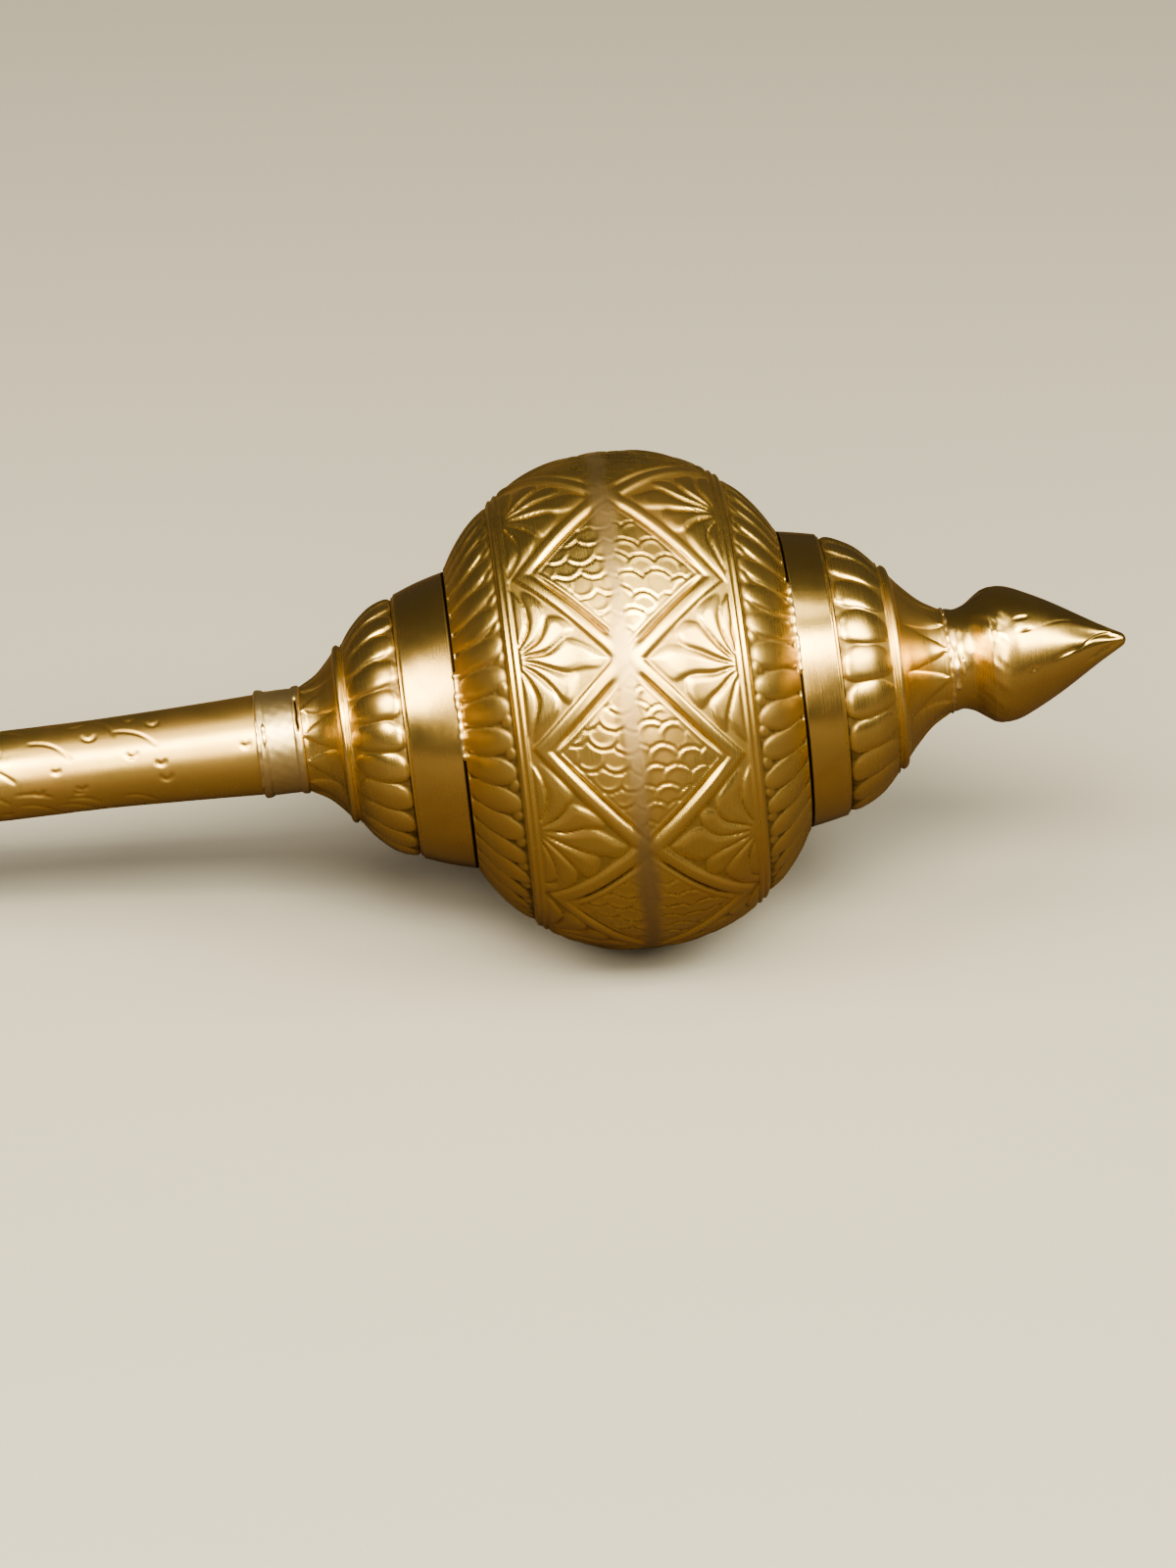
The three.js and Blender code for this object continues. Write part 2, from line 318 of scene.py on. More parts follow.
# %% [markdown]
# ## The zigzag
#
# Eight zigzags go round each bowl. On the globe as a whole they cross at the joint, and make a row of
# diamonds there. Each line is a broad ridge with a cut groove and a thin ridge beside it. The lines could be
# bevelled curves laid on the globe, but struck work is part of the sheet. So all of it is drawn from one
# distance, measured square across the line: positive towards the palmettes at the ring, and negative towards
# the scales at the joint. The sheet turned a little while it was raised, so each bowl's zigzag leans.

# %% The zigzag
ZIGZAGS = 8
ZIGZAG_START = math.radians(7.25)
ZIGZAG_LEAN = math.radians(4)
ZIGZAG_INNER = 1.6
ZIGZAG_OUTER = ring_inner - 4.0
RIDGE_HALF_WIDTH = 1.9
RIDGE_EDGE = RIDGE_HALF_WIDTH + 0.45
GROOVE_AT = -2.75
THIN_RIDGE_EDGE = -4.9
zigzag_slope = math.atan2(ZIGZAG_OUTER - ZIGZAG_INNER, math.pi / ZIGZAGS * GLOBE_RADIUS)
print("the zigzag's lines slope", round(math.degrees(zigzag_slope), 1), "degrees")


def leaning(angle, length, side):
    """The angle that a point would have if the bowl's sheet had not turned."""
    return angle - side * ZIGZAG_LEAN * np.clip(length / ring_inner, 0, 1)


def from_zigzag(angle, length):
    """Distance across the nearest zigzag line in mm, and where along it: 0 at a crossing, 1 at a corner."""
    turns = (angle - ZIGZAG_START) * ZIGZAGS / (2 * math.pi)
    along_line = 2 * np.abs(turns - np.round(turns))
    line = ZIGZAG_INNER + (ZIGZAG_OUTER - ZIGZAG_INNER) * along_line
    return (length - line) * math.cos(zigzag_slope), along_line


def zigzag_cut(across, along_line):
    """The groove is struck with a tapering tool, so it fades before it gets to a crossing or a corner."""
    taper = blend_level(0.02, 0.3, along_line) * (1 - blend_level(0.78, 1.0, along_line))
    crown = 0.22 * np.clip(np.abs(across) / RIDGE_HALF_WIDTH, 0, 1) ** 3
    groove = (0.45 + 0.75 * taper) * liner(across - GROOVE_AT, 0.8)
    outer_groove = 0.85 * liner(across - RIDGE_EDGE, 0.55)
    inner_groove = 0.5 * liner(across - THIN_RIDGE_EDGE, 0.5)
    return crown + groove + outer_groove + inner_groove


# %% [markdown]
# ## The palmettes
#
# In each triangle that stands on the ring, a fan of seven petals opens towards the joint. They could be
# fifty-six separate cushions on each bowl, but then none would blend into the sheet. The petals meet at a
# root on the ring, so the pattern is laid out in turns about that root: which petal a place is on, and how
# far it is across that petal. The outer petals curl back towards the ring, and a slow hammered unevenness
# bends each one its own way, because no two were struck alike. Each petal is a cushion with a round end.

# %% The palmettes
PETALS_EACH_SIDE = 3
PETAL_TURN = math.radians(23)
PETAL_CURL = 0.2
PETAL_SINK = 1.4
PETAL_BEND = 0.15
FAN_ROOT = ring_inner + 1.5
FAN_REACH = 18.0
print("each palmette has", 2 * PETALS_EACH_SIDE + 1, "petals")


def palmette_cut(offset, length, across, unevenness):
    """The depth between the petals. offset is the distance round the globe from the fan's root."""
    toward_joint = FAN_ROOT - length
    reach = np.hypot(offset, toward_joint)
    turn = np.arctan2(offset, toward_joint) * (1 - PETAL_CURL * (reach / FAN_REACH) ** 2)
    turn = turn + PETAL_BEND * unevenness
    petal = np.clip(np.round(turn / PETAL_TURN), -PETALS_EACH_SIDE, PETALS_EACH_SIDE)
    side = 2 * (turn / PETAL_TURN - petal)
    half_width = np.maximum(reach * PETAL_TURN / 2, 0.3)
    to_end = across - RIDGE_EDGE - 0.3 - 0.35 * unevenness
    way = 1 - np.clip(to_end / (1.5 * half_width), 0, 1)
    height = cushion(lapped(np.clip(side, -1, 1), 0.25), way, 2.3)
    deepest_half_way = 0.7 + 0.3 * np.sin(np.clip(reach / FAN_REACH, 0, 1) * 3.1)
    sink = PETAL_SINK * blend_level(1.0, 5.5, reach) * deepest_half_way
    return 0.06 + sink * (1 - height)


# %% [markdown]
# ## The scales
#
# Inside each diamond are overlapping round scales, struck by eye with a curved punch that leaves a fine
# raised rim. On the front bowl the rims face up and on the rear bowl they face down. A repeating texture
# would look printed. So they are laid on in order, like roof tiles, each one over part of the one before,
# with small shifts from a numbered draw.

# %% The scales
SCALE_SIZE = 4.3
SCALE_STEP_ROUND = 6.0
SCALE_STEP_ALONG = 7.3
SCALE_COLUMNS = 5
SCALE_ROWS = 5
print("scales laid in each diamond:", (2 * SCALE_COLUMNS + 1) * SCALE_ROWS)


def scales_cut(angle, length, radius, facing):
    """The depth round the scales. Seen from the near side, facing is 1 for rims facing down, -1 for up."""
    diamond, across_diamond = counted_round(angle, ZIGZAG_START, ZIGZAGS)
    offset = across_diamond * math.pi / ZIGZAGS * radius
    draw = np.random.default_rng(11 + facing)
    cut = np.full(offset.shape, 0.45)
    for column in range(SCALE_COLUMNS, -SCALE_COLUMNS - 1, -1):
        for row in range(SCALE_ROWS):
            shift_round, shift_along = draw.uniform(-0.75, 0.75, (2, ZIGZAGS))
            size = SCALE_SIZE + draw.uniform(-0.45, 0.45, ZIGZAGS)[diamond]
            middle_round = (column * SCALE_STEP_ROUND + shift_round)[diamond]
            middle_along = ((row + 0.5 * (column % 2)) * SCALE_STEP_ALONG + shift_along)[diamond]
            off_round = facing * offset - middle_round
            off_along = length - middle_along
            out = np.hypot(off_round, off_along)
            faces_rim = np.clip(off_round / np.maximum(out, 0.1) + 0.25, 0, 1)
            rim = 0.32 * liner(size - out - 0.7, 0.6) * (0.3 + 0.7 * faces_rim)
            dish = 0.5 + 0.1 * np.clip(off_round / size, -1, 1)
            under = np.maximum(cut, 0.95 * liner(out - size - 0.2, 0.55) * faces_rim)
            cut = np.where(out < size, dish - rim, under)
    return cut


# %% [markdown]
# ## The ring and the leaves
#
# A double line rings each bowl. Beyond it forty leaves run down to the rim. They are fat cushions with round
# ends towards the ring, a little bent, each lapping over the next one down. The tips of a second row show in
# the gaps between their round ends. One leaf could be modelled and repeated with an array, but all forty
# would be twins. Counting round the bowl gives each its own weight and slide.

# %% The ring and the leaves
LEAVES = 40
LEAF_START = {1: math.radians(2.5), -1: math.radians(0.2)}
LEAF_BEND = math.radians(1.5)
LEAF_SINK = 1.35
LEAF_LENGTH = 1.1 * (rim_length - ring_outer)
leaf_draw = np.random.default_rng(17)
leaf_slide = leaf_draw.uniform(-0.5, 0.5, LEAVES)
leaf_weight = leaf_draw.uniform(0.86, 1.08, LEAVES)
print(LEAVES, "leaves on each bowl, each", round(float(LEAF_LENGTH), 1), "mm long with its hidden end")


def ring_cut(length):
    edges = 0.85 * (liner(length - ring_inner, 0.6) + liner(length - ring_outer, 0.6))
    middle = 0.7 * liner(length - (ring_inner + ring_outer) / 2, 0.55)
    return 0.06 + edges + middle


def leaves_cut(angle, length, radius, side_of_globe, unevenness):
    from_ring = length - ring_outer - 0.7
    way = 2 * from_ring / LEAF_LENGTH - 1
    bent = angle - LEAF_BEND * (1 - way**2) + 0.012 * unevenness
    leaf, side = counted_round(bent, LEAF_START[side_of_globe], LEAVES)
    slid = 2 * (from_ring - leaf_slide[leaf]) / LEAF_LENGTH - 1
    height = cushion(lapped(side, 0.28), slid, 2.6) * leaf_weight[leaf]
    from_gap = (1 - np.abs(side)) * math.pi / LEAVES * radius
    tip = 0.4 * cushion(from_gap / 2.0, (from_ring - 1.6) / 1.9, 2)
    return LEAF_SINK * (1 - np.clip(np.maximum(height, tip), 0, 1))


# %% [markdown]
# ## Chasing and filing
#
# Here the patterns come together, each in its own field. The bowls were brazed together round the middle of
# the globe, and the joint was filed smooth, mostly on the rear bowl's side. The file took the ends of the
# pattern with it, unevenly. A smooth band laid over the globe would hide the pattern but not wear it away, so
# the chasing fades out towards the filed strip.

# %% Chasing and filing
STRIP_MIDDLE = -1.5


def emboss(angle, length, radius, side):
    """The depth of all the chasing on a bowl. side is 1 in front of the joint and -1 behind it."""
    chased = leaning(angle, length, side)
    bends = hammering(chased, length, 60 + side, size=15)
    across, along_line = from_zigzag(chased, length)
    _, across_palmette = counted_round(chased, ZIGZAG_START - math.pi / ZIGZAGS, ZIGZAGS)
    offset = across_palmette * math.pi / ZIGZAGS * radius
    cut = zigzag_cut(across, along_line)
    palmettes = palmette_cut(offset, length, across, bends)
    scales = scales_cut(chased, length, radius, -side)
    cut = np.where(across > RIDGE_EDGE, np.maximum(cut, palmettes), cut)
    cut = np.where(across < THIN_RIDGE_EDGE, np.maximum(cut, scales), cut)
    beyond = np.maximum(leaves_cut(angle, length, radius, side, bends), ring_cut(length) - 0.06)
    cut = np.where(length > ring_inner, ring_cut(length), np.maximum(cut, ring_cut(length) - 0.06))
    return np.where(length > ring_outer, beyond, cut)


def filed_away(angle, length, side):
    """1 where the chasing is whole, and much less where the file cut it. The edge is ragged."""
    ragged = 2.2 * hammering(angle, 0 * length, 5, size=16) + 1.4 * hammering(angle, length, 6, size=4.5)
    from_strip = np.abs(side * length - STRIP_MIDDLE) + ragged
    return 0.14 + 0.86 * blend_level(1.2, 4.8, from_strip), from_strip


# %% [markdown]
# ## The two bowls
#
# Each bowl runs from the joint to its rim, and its filed strip is marked dull. The rim is the sheet's cut
# edge, a little wavy, with a narrow gap inside it where the cap comes out, painted near black as shade. A
# thickened sheet would show the same edge and cost twice the points, so only the rim is turned inwards.

# %% The two bowls
BOWL_COLUMNS = 800
BOWL_RINGS = 117
RIM_WALL = 0.5
RIM_GAP_DEPTH = 1.8
RIM_GAP_WIDTH = 4


def globe_bowl(name, side):
    angles = around(BOWL_COLUMNS)
    angle = angles[None, :] + np.zeros((BOWL_RINGS, 1))
    length = np.linspace(0, rim_length, BOWL_RINGS)[:, None] + 0 * angle
    stations = station_of(length)
    curve = globe_radius(stations)
    whole, from_strip = filed_away(angle, length, side)
    cut = emboss(angle, length, curve, side) * whole
    cut = cut * (1 - 0.8 * blend_level(rim_length - 1.6, rim_length, length))
    uneven = 0.12 * (1 + hammering(angle, stations, 20 + side, size=13))
    radii = curve - cut - uneven
    dull = 1 - blend_level(0.8, 4.6, from_strip)

    wavy = 0.2 * hammering(angle[:1], stations[:1], 31 + side, size=6)
    rim_out = radii[-1:] - 0.2 + wavy
    radii[-1:] = rim_out
    lips = [
        # station, radius and how dark the painted shade is there
        (GLOBE_RIM, rim_out - RIM_WALL, 0.5),
        (GLOBE_RIM - RIM_GAP_DEPTH, rim_out - RIM_WALL, 2.5),
        (GLOBE_RIM - RIM_GAP_DEPTH, rim_out - RIM_GAP_WIDTH, 2.5),
    ]
    for station, lip, depth in lips:
        stations = np.concatenate([stations, station + 0 * lip])
        radii = np.concatenate([radii, lip])
        cut = np.concatenate([cut, depth + 0 * lip])
        dull = np.concatenate([dull, 0 * lip])
    if side < 0:
        stations, radii = -stations[::-1], radii[::-1]
        cut, dull = cut[::-1], dull[::-1]
    return turned_skin(name, stations, radii, angles, cut, dull)


front_bowl = finish_piece(globe_bowl("front_bowl", 1), "embossed_brass", "front_globe_bowl")
rear_bowl = finish_piece(globe_bowl("rear_bowl", -1), "embossed_brass", "rear_globe_bowl")

# %% [markdown]
# ## Outlines of turned pieces
#
# The plain parts of a turned outline are a few points that a turner would mark, joined by a fair curve.
# Corners must stay corners. A curve object would need its handles set by hand for that, so an outline is a
# list of stretches: each is smooth inside, and meets the next at an angle.

# %% Outlines of turned pieces
def fair_curve(marks, step=0.6):
    """Points along a smooth curve through marks, about a step apart, without overshooting them much."""
    marks = np.array(marks, float)
    if len(marks) == 2:
        count = max(2, int(np.hypot(*(marks[1] - marks[0])) / step) + 1)
        return marks[0] + np.linspace(0, 1, count)[:, None] * (marks[1] - marks[0])
    ghost = np.concatenate([[2 * marks[0] - marks[1]], marks, [2 * marks[-1] - marks[-2]]])
    points = []
    for before, start, end, after in zip(ghost, ghost[1:], ghost[2:], ghost[3:]):
        count = max(2, int(np.hypot(*(end - start)) / step) + 1)
        t = np.linspace(0, 1, count, endpoint=False)[:, None]
        leaving, arriving = (end - before) / 2, (after - start) / 2
        points.append(
            (2 * t**3 - 3 * t**2 + 1) * start + (t**3 - 2 * t**2 + t) * leaving
            + (3 * t**2 - 2 * t**3) * end + (t**3 - t**2) * arriving
        )
    return np.concatenate(points + [marks[-1:]])


def outline_of(*stretches, step=0.6):
    """One outline from several stretches, each starting where the last one ended."""
    curves = [fair_curve(stretch, step) for stretch in stretches]
    return np.concatenate([curves[0]] + [curve[1:] for curve in curves[1:]])


print("a curve through 3 marks, 10 mm apart, has", len(fair_curve([(0, 0), (10, 0), (20, 0)])), "points")

# %% [markdown]
# ## The two caps
#
# Each cap was spun on a lathe: a bright drum, then a swelling, a small bead and a throat. The swelling was
# then punched out into lobes, twenty-two on the front cap and twenty-four on the rear one, and the throat was
# chased with half as many pointed petals. The lobes could be bent cylinders, but they would meet the sheet in
# hard lines. So they are cushions too, wide and round at the drum and narrow at the bead. The drum is left as
# the lathe left it, so it is marked as the most mirror-like part.

# %% The two caps
CAP_COLUMNS = 576
LOBE_SINK = 1.35
THROAT_POINT = 0.92
MIRROR_DRUM = -0.5
caps = {
    "front": {
        "drum": [(48.8, 44.6), (50.5, 44.9), (56.2, 43.9), (62, 42.7)],
        "groove": [(62, 42.7), (62.4, 41.8), (62.9, 42.2)],
        "swell": [(62.9, 42.2), (64.8, 42), (68, 40.6), (73.2, 37.6), (78.8, 32.6)],
        "bead": [(78.8, 32.6), (79.4, 30.6), (80.6, 31), (81.8, 30.1), (82.4, 28)],
        "throat": [(82.4, 28), (85.4, 24.5), (90.8, 19.3), (96.9, 15.7)],
        "lobes": 22,
        "start": math.radians(0.3),
    },
    "rear": {
        "drum": [(48.8, 44.6), (50.5, 44.9), (59, 42.6), (66, 40)],
        "groove": [(66, 40), (66.5, 39.1), (67, 39.6)],
        "swell": [(67, 39.6), (69, 39.3), (74.4, 36.7), (79.6, 32.2), (83.3, 27.8)],
        "bead": [(83.3, 27.8), (83.8, 26.4), (84.9, 27), (86, 26.3), (86.5, 24.7)],
        "throat": [(86.5, 24.7), (89, 21.9), (92.4, 18.7), (97.4, 15.9)],
        "lobes": 24,
        "start": math.radians(12.3),
    },
}


def lobes_cut(angle, share, marks):
    """The depth between the lobes. share goes from 0 at the drum to 1 at the bead."""
    unevenness = hammering(angle, 30 * share, marks["lobes"], size=14, radius=38)
    _, side = counted_round(angle + 0.012 * unevenness, marks["start"], marks["lobes"])
    way = 2 * share - 1
    height = cushion(lapped(side, 0.24), way, 2.8)
    return LOBE_SINK * (1 - 0.35 * share) * (1 - height)


def throat_cut(angle, share, marks):
    """Pointed petals. share goes from 0 at the bead to 1 at the end of the throat."""
    _, side = counted_round(angle, marks["start"], marks["lobes"] // 2)
    half_width = np.clip(1 - share / THROAT_POINT, 0.02, 1) ** 0.45
    edge = np.abs(side) / half_width
    petal = 0.35 * np.clip(edge, 0, 1) ** 3
    cut = petal + 0.3 * blend_level(1, 1.15, edge)
    return cut * blend_level(0, 0.12, share) * (1 - blend_level(0.86, 1, share))


def cap(name, marks, side, seed):
    outline = outline_of(marks["drum"], marks["groove"], marks["swell"], marks["bead"], marks["throat"])
    stations, curve, angle = turned(outline, CAP_COLUMNS)
    cut = np.zeros(angle.shape)
    for stretch, chased in (("swell", lobes_cut), ("throat", throat_cut)):
        first, last = marks[stretch][0][0], marks[stretch][-1][0]
        share = (stations - first) / (last - first) + 0 * angle
        on_stretch = (share >= 0) & (share <= 1)
        cut = np.where(on_stretch, chased(angle, np.clip(share, 0, 1), marks), cut)
    # Painted shade: near black in the gap at the globe's rim, and darker in the cuts and at the turned
    # corners.
    painted_shade = cut + 2.8 * liner(stations - GLOBE_RIM - 0.1, 0.95)
    for corner in (marks["groove"][1][0], marks["bead"][0][0] + 0.4, marks["throat"][0][0]):
        painted_shade = painted_shade + 0.8 * liner(stations - corner, 0.45)
    uneven = 0.05 * (1 + hammering(angle, stations, seed, size=16, radius=40))
    radii = curve - cut - uneven
    dull = MIRROR_DRUM * (stations < marks["drum"][-1][0]) + 0 * angle
    if side < 0:
        stations, radii, painted_shade, dull = -stations[::-1], radii[::-1], painted_shade[::-1], dull[::-1]
    return turned_skin(name, stations, radii, angle[0], painted_shade, dull)


front_cap = finish_piece(cap("front_lobed_cap", caps["front"], 1, 41), "gilt_brass", "front_cap")
rear_cap = finish_piece(cap("rear_lobed_cap", caps["rear"], -1, 42), "gilt_brass", "rear_cap")

# %% [markdown]
# ## The finial
#
# The finial is a bud with a waist, a blunt shoulder and a long point, spun plain and brazed to the throat of
# the front cap. Sheet that is spun over such a sharp shoulder crumples a little, so soft facets go round it
# there. Near the tip the metal is drawn into a few shallow ridges where it was closed. The nicks and
# scratches are from use. A painted scratch wouldn't catch the light at its edges, so each is a real dent,
# listed one by one.

# %% The finial
FINIAL_COLUMNS = 280
FINIAL_JOINT = 97.2
FINIAL_DULL = -0.4
TIP_RIDGES = 9
THINNEST = 0.2
NICKS = [
    # station, degrees round, half length, half width, depth, degrees of slant for each mm
    (119.5, 30, 1.8, 0.5, 0.5, -1.2),
    (120.2, 42, 1.8, 0.5, 0.45, -0.8),
    (133.0, 23, 5.5, 0.35, 0.28, -1.9),
    (132.5, 71, 3.2, 0.45, 0.3, -0.9),
    (143.0, 43, 5.0, 0.4, 0.3, -4.1),
    (143.0, 92, 3.8, 0.4, 0.25, -2.0),
    (121.5, 80, 1.1, 0.7, 0.3, 0),
]


def finial():
    waist = [(96.9, 15.5), (98.6, 15.6), (100.8, 15.2), (103.8, 16.2), (106.8, 18.3), (109.6, 20.2)]
    shoulder = [(109.6, 20.2), (112.4, 20.95), (115.4, 20.6), (120.4, 18.9), (132, 13), (144, 5.8)]
    tip = [(144, 5.8), (149.6, 2.6), (151.1, 1.6), (151.7, 0.5)]
    stations, curve, angle = turned(outline_of(waist, shoulder, tip, step=0.45), FINIAL_COLUMNS)
    facets = hammering(angle, stations, 52, size=7, radius=20)
    fine_facets = hammering(angle, stations, 53, size=4, radius=20)
    by_shoulder = liner(stations - 111.5, 3.2) + 0.5 * liner(stations - 106, 3)
    crumpled = 0.3 * (1 + facets + 0.7 * fine_facets) * by_shoulder
    ridged = 0.17 * blend_level(126, 141, stations) * (1 - blend_level(147, 150, stations))
    cut = ridged * (1 + np.sin(TIP_RIDGES * angle + 1.5 * np.sin(2 * angle)))
    nicked = 0 * cut
    for station_at, round_at, half_length, half_width, depth, slant in NICKS:
        slanted = np.radians(round_at + slant * (stations - station_at))
        off_round = (angle - slanted) * curve / half_width
        off_along = (stations - station_at) / half_length
        nicked = nicked + depth * liner(np.hypot(off_round, off_along), 1)
    uneven = 0.07 * (1 + hammering(angle, stations, 51, size=13, radius=18))
    radii = np.maximum(curve - cut - crumpled - nicked - uneven, THINNEST)
    # Painted shade in the tip's ridges and the nicks, and at the joint with the cap.
    painted_shade = 0.6 * cut + 4 * nicked + 1.1 * liner(stations - FINIAL_JOINT, 0.6)
    return turned_skin("finial_bud", stations, radii, angle[0], painted_shade, FINIAL_DULL)


finial_piece = finish_piece(finial(), "gilt_brass", "finial")

# %% [markdown]
# ## The collar
#
# The collar is a strip of paler brass bent round the joint of the head and the handle. It has a low raised
# rim at each end and a seam where its two ends meet. It was put on with too much solder, which was left in
# lumps along its back edge and smeared over its band. A crack runs along its front edge. The smears are thin
# enough to be part of the skin, so they are drawn like hammering, only finer.

# %% The collar
COLLAR_COLUMNS = 176
COLLAR_RADIUS = 15.9
COLLAR_RIM = 0.6
COLLAR_SEAM = math.radians(150)
CRACK_FROM = math.radians(8)
CRACK_TO = math.radians(48)
CRACK_TAPER = 0.1
COLLAR_DULL = 0.15


def collar():
    outer = COLLAR_RADIUS + COLLAR_RIM
    back, front = COLLAR_BACK - 0.1, COLLAR_FRONT + 0.1
    back_rim = [
        (back, COLLAR_RADIUS - 0.3),
        (back + 0.5, outer - 0.15),
        (back + 1.5, outer),
        (back + 2.5, outer - 0.2),
    ]
    front_rim = [(front - 2.8, COLLAR_RADIUS), (front - 2.2, outer - 0.15), (front - 1.2, outer)]
    front_end = [(front - 1.2, outer), (front - 0.4, outer - 0.15), (front, COLLAR_RADIUS - 0.3)]
    band = [(back + 3.1, COLLAR_RADIUS), (front - 2.8, COLLAR_RADIUS)]
    step_down = [(back + 2.5, outer - 0.2), (back + 3.1, COLLAR_RADIUS)]
    outline = outline_of(back_rim, step_down, band, front_rim, front_end, step=0.25)
    stations, curve, angle = turned(outline, COLLAR_COLUMNS)
    seam = 0.35 * liner((angle - COLLAR_SEAM - 0.012 * np.sin(0.9 * stations)) * COLLAR_RADIUS, 0.35)
    begun = blend_level(CRACK_FROM, CRACK_FROM + CRACK_TAPER, angle)
    cracked = begun * (1 - blend_level(CRACK_TO, CRACK_TO + CRACK_TAPER, angle))
    crack_at = front - 1.5 + 0.25 * hammering(angle, 0 * angle, 62, size=4, radius=16)
    crack = 0.8 * cracked * liner(stations - crack_at, 0.5)
    smears = 0.09 * (1 + hammering(angle, stations, 61, size=3.5, radius=16))
    smears = smears + 0.09 * (1 + hammering(angle, stations, 63, size=7, radius=16))
    cut = seam + crack + smears
    by_rims = 0.7 * liner(stations - back - 2.9, 0.3) + 0.7 * liner(stations - front + 2.7, 0.3)
    # Painted shade in the seam and the crack, and where the rims step down to the band.
    painted_shade = 2 * seam + 3 * crack + by_rims
    return turned_skin("soldered_collar", stations, curve - cut, angle[0], painted_shade, COLLAR_DULL)


collar_piece = finish_piece(collar(), "pale_brass", "collar")

# %% [markdown]
# ## The handle's vine
#
# A vine of short hooks wanders along the handle, with crescents struck between them, all cut lightly. Each
# groove could be cut with a boolean, which is slow and leaves ragged meshes. So the pattern is drawn as if
# the tube were unrolled, from two lists of marks. The first marks of each list are given, where the vine is
# best seen, and the rest are strewn over the tube by a numbered draw that keeps clear of them.

# %% The handle's vine
SHAFT_RADIUS = 13.55
HAND_PLACED_TO = -192.0
HAND_PLACED_ABOVE = 310
HAND_PLACED_BELOW = 130
STREWN_FROM = -148.0
STREWN_STEP = 12.5
STREWN_TURN = 45
MARK_WIDTH = 0.5
HOOK_CURL = 2.4
HOOKS = [
    # station where it starts, degrees round, length along, drop at its end
    (-167.0, 2, 6.0, -3.2), (-161.5, -9, 7.5, 7.5), (-154.2, 20, 12.5, 6), (-179.0, 23, 11.5, 6.5),
    (-184.5, 90, 10, 2), (-168.5, 105, 8.5, 3), (-190.0, -12, 8, 4), (-181.0, -30, 10, 5),
    (-152, 110, 9, 4),
]
CRESCENTS = [
    # station, degrees round, size
    (-178.4, -15, 1.1), (-161.3, 21, 1.7), (-149, -2, 1.3), (-142, 12, 1.4), (-115, 57, 1.1),
    (-140.5, 66, 1.2), (-139.4, 85, 1.6), (-165, 88, 1.2), (-149, 52, 1.4), (-188, 118, 1.2),
    (-172, 62, 1.0),
]


def all_marks(last_station):
    """The listed marks and the strewn ones. Each draw is made even where its mark is left out."""
    draw = np.random.default_rng(71)
    hooks, crescents = list(HOOKS), list(CRESCENTS)
    for station in np.arange(STREWN_FROM, last_station, -STREWN_STEP):
        for degrees in range(0, 360, STREWN_TURN):
            in_sight = degrees < HAND_PLACED_BELOW or degrees > HAND_PLACED_ABOVE
            by_hand = station > HAND_PLACED_TO and in_sight
            at = station + draw.uniform(-3, 3)
            turned = degrees + draw.uniform(-12, 12) + 25 * math.sin(station / 9)
            length, drop, size = draw.uniform(8.5, 12.5), draw.uniform(3.5, 6.5), draw.uniform(1.0, 1.6)
            if not by_hand:
                hooks.append((at, turned, length, drop))
                crescents.append((at + 5.5, turned - 20, size))
    return hooks, crescents


def unrolled(angle, degrees):
    """How far round the tube from a mark, in mm, the short way."""
    off = (angle - math.radians(degrees) + math.pi) % (2 * math.pi) - math.pi
    return off * SHAFT_RADIUS


def engraving(angle, station, last_station):
    hooks, crescents = all_marks(last_station)
    print("engraved with", len(hooks), "hooks and", len(crescents), "crescents")
    cut = np.zeros(np.broadcast(angle, station).shape)
    for at, degrees, length, drop in hooks:
        rows = slice(*np.searchsorted(station[:, 0], (at - 1.5, at + length + 1.5)))
        share = np.clip((station[rows] - at) / length, 0, 1)
        off_line = unrolled(angle[rows], degrees) - drop * share**HOOK_CURL
        off_end = np.abs(station[rows] - at - share * length)
        steep = np.hypot(1, HOOK_CURL * drop / length * share ** (HOOK_CURL - 1))
        weight = 0.6 + 0.4 * np.sin(math.pi * share)
        line = 0.42 * liner(np.hypot(off_line / steep, off_end), MARK_WIDTH) * weight
        cut[rows] = np.maximum(cut[rows], line)
    for at, degrees, size in crescents:
        rows = slice(*np.searchsorted(station[:, 0], (at - 3, at + 3)))
        off_round, off_along = unrolled(angle[rows], degrees), station[rows] - at
        out = np.hypot(off_round, off_along)
        lower_half = np.clip(off_round / np.maximum(out, 0.1) + 0.5, 0, 1)
        cut[rows] = np.maximum(cut[rows], 0.5 * liner(out - size, MARK_WIDTH) * lower_half)
    return cut


# %% [markdown]
# ## The handle
#
# The handle is a brass tube that swells towards the collar, and near the collar it is almost plain. A
# cylinder could be tapered with a modifier, but the swell is a curve, so it is turned like the other pieces.
# Its back end comes from the frame's box, because the knob hides it.

# %% The handle
SHAFT_HEAD_RADIUS = 15.2
SHAFT_SWELL = 50
SHAFT_SWELL_POWER = 1.3
SHAFT_COLUMNS = 176
SHAFT_STEP = 0.58
shaft_front = COLLAR_BACK - 0.1


